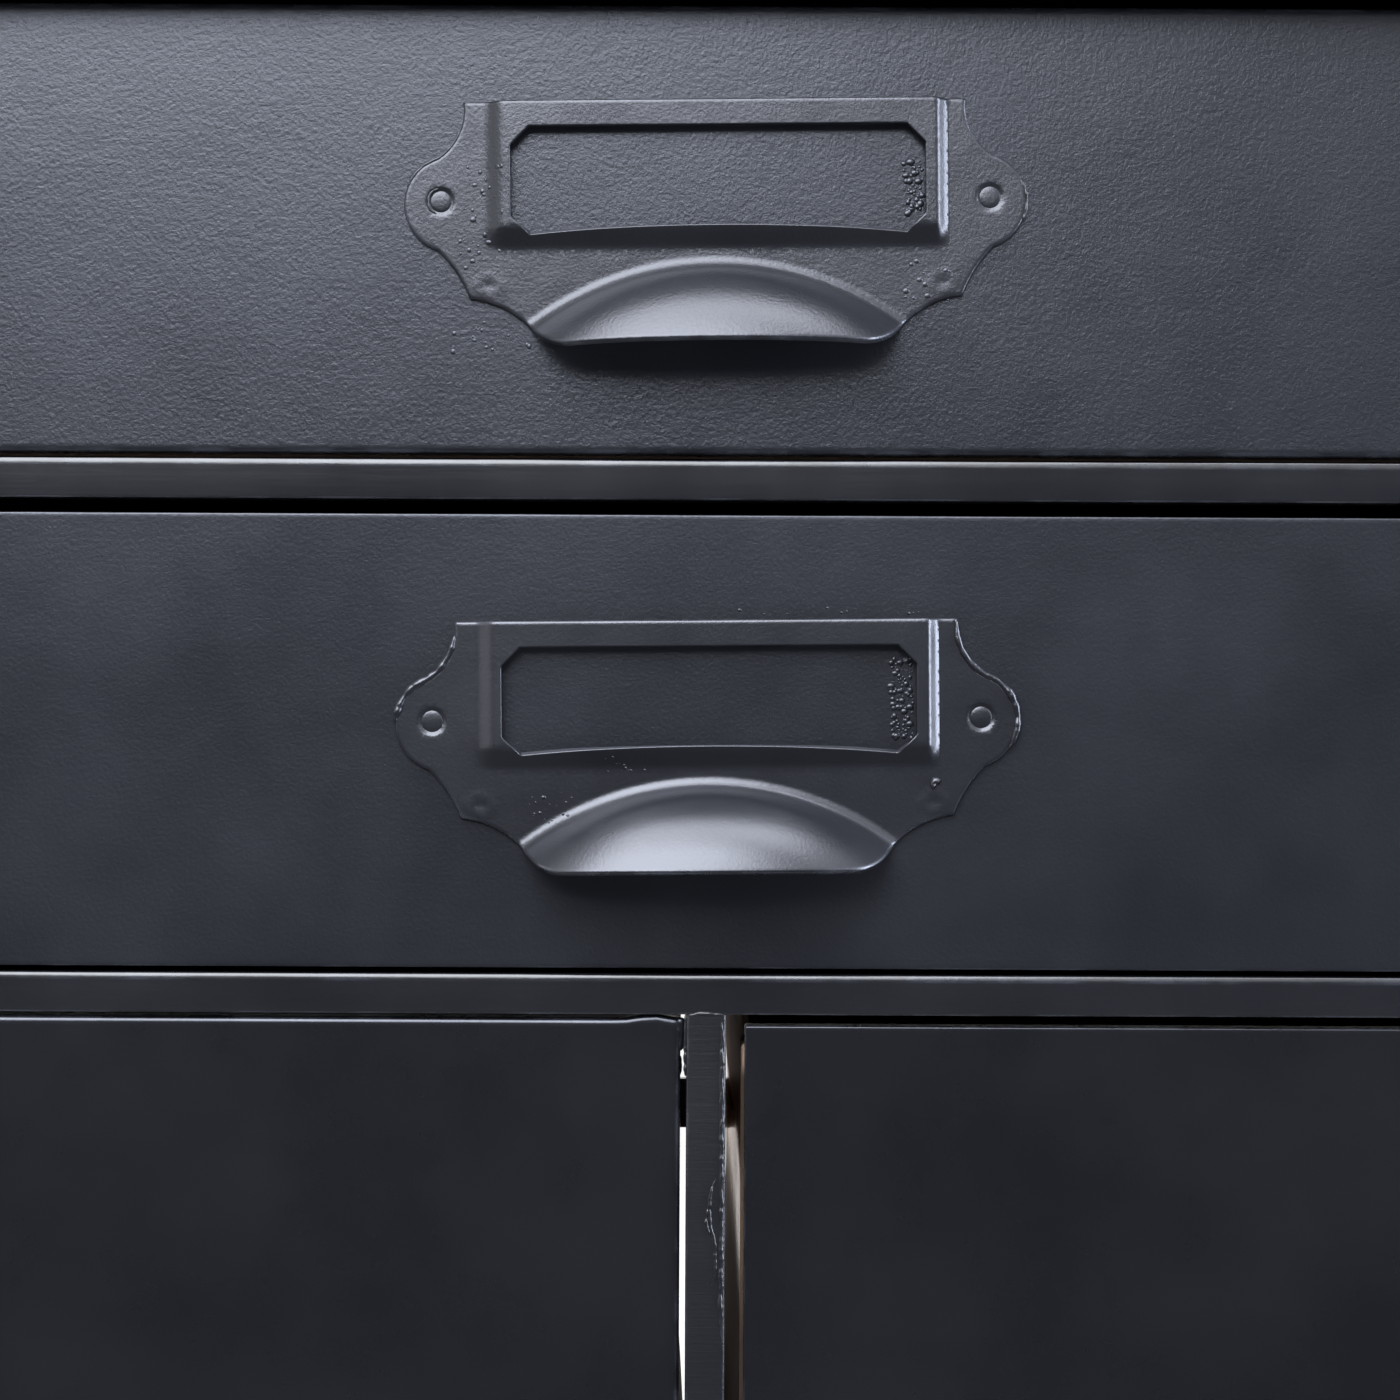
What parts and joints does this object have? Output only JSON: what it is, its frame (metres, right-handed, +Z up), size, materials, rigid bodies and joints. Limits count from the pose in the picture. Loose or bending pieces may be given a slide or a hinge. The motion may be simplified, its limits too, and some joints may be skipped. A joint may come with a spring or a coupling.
{
  "type": "chest of drawers",
  "caption": "Tabletop chest of drawers in dark painted sheet steel on a square-bar frame: wide shallow drawers over deep half-width ones, with stamped card-frame cup pulls.",
  "frame": {"origin": "middle of the overall box, at the underside of the feet", "axes": "+X to the right as the drawers are faced, +Y to the back, +Z up; the drawers open towards -Y"},
  "size_m": [0.403, 0.2552, 0.364],
  "materials": {
    "frame_paint": "dark charcoal paint, orange peel",
    "panel_paint": "dark charcoal paint, orange peel",
    "front_paint": "dark charcoal paint, orange peel",
    "pull_paint": "dark charcoal paint, orange peel",
    "box_metal": "thin grey primer over steel",
    "runner_steel": "zinc plated steel",
    "screw_steel": "zinc plated steel",
    "foot_rubber": "matt black"
  },
  "bodies": {
    "case": {"stile_left": "frame_paint", "rear_post_left": "frame_paint", "bottom_side_rail_left": "frame_paint", "top_side_rail_left": "frame_paint", "stile_right": "frame_paint", "rear_post_right": "frame_paint", "bottom_side_rail_right": "frame_paint", "top_side_rail_right": "frame_paint", "bottom_front_rail": "frame_paint", "bottom_rear_rail": "frame_paint", "middle_front_rail": "frame_paint", "middle_rear_rail": "frame_paint", "upper_front_rail": "frame_paint", "upper_rear_rail": "frame_paint", "top_front_rail": "frame_paint", "top_rear_rail": "frame_paint", "mullion": "frame_paint", "back_tie": "frame_paint", "side_panel_left": "panel_paint", "side_panel_right": "panel_paint", "bottom_panel": "panel_paint", "back_panel": "panel_paint", "lid": "panel_paint", "middle_dust_sheet": "panel_paint", "upper_dust_sheet": "panel_paint", "upper_runner_left": "runner_steel", "upper_runner_right": "runner_steel", "middle_runner_left": "runner_steel", "middle_runner_right": "runner_steel", "lower_runner_left": "runner_steel", "lower_runner_right": "runner_steel", "centre_runner": "runner_steel", "centre_guide": "runner_steel", "feet": "foot_rubber", "foot_screws": "screw_steel"},
    "upper_drawer": {"upper_front": "front_paint", "upper_box": "box_metal", "upper_box_ends": "box_metal", "upper_pull": "pull_paint", "upper_pull_rivets": "pull_paint", "upper_front_screws": "screw_steel"},
    "middle_drawer": {"middle_front": "front_paint", "middle_box": "box_metal", "middle_box_ends": "box_metal", "middle_pull": "pull_paint", "middle_pull_rivets": "pull_paint", "middle_front_screws": "screw_steel"},
    "lower_left_drawer": {"lower_left_front": "front_paint", "lower_left_box": "box_metal", "lower_left_box_ends": "box_metal", "lower_left_pull": "pull_paint", "lower_left_pull_rivets": "pull_paint", "lower_left_front_screws": "screw_steel"},
    "lower_right_drawer": {"lower_right_front": "front_paint", "lower_right_box": "box_metal", "lower_right_box_ends": "box_metal", "lower_right_pull": "pull_paint", "lower_right_pull_rivets": "pull_paint", "lower_right_front_screws": "screw_steel"}
  },
  "joints": [
    {"name": "upper_drawer_slide", "type": "slide", "parent": "case", "child": "upper_drawer", "axis": [0, -1, 0], "range_m": [0, 0.1695]},
    {"name": "middle_drawer_slide", "type": "slide", "parent": "case", "child": "middle_drawer", "axis": [0, -1, 0], "range_m": [0, 0.1695]},
    {"name": "lower_left_drawer_slide", "type": "slide", "parent": "case", "child": "lower_left_drawer", "axis": [0, -1, 0], "range_m": [0, 0.1705]},
    {"name": "lower_right_drawer_slide", "type": "slide", "parent": "case", "child": "lower_right_drawer", "axis": [0, -1, 0], "range_m": [0, 0.1705]}
  ]
}
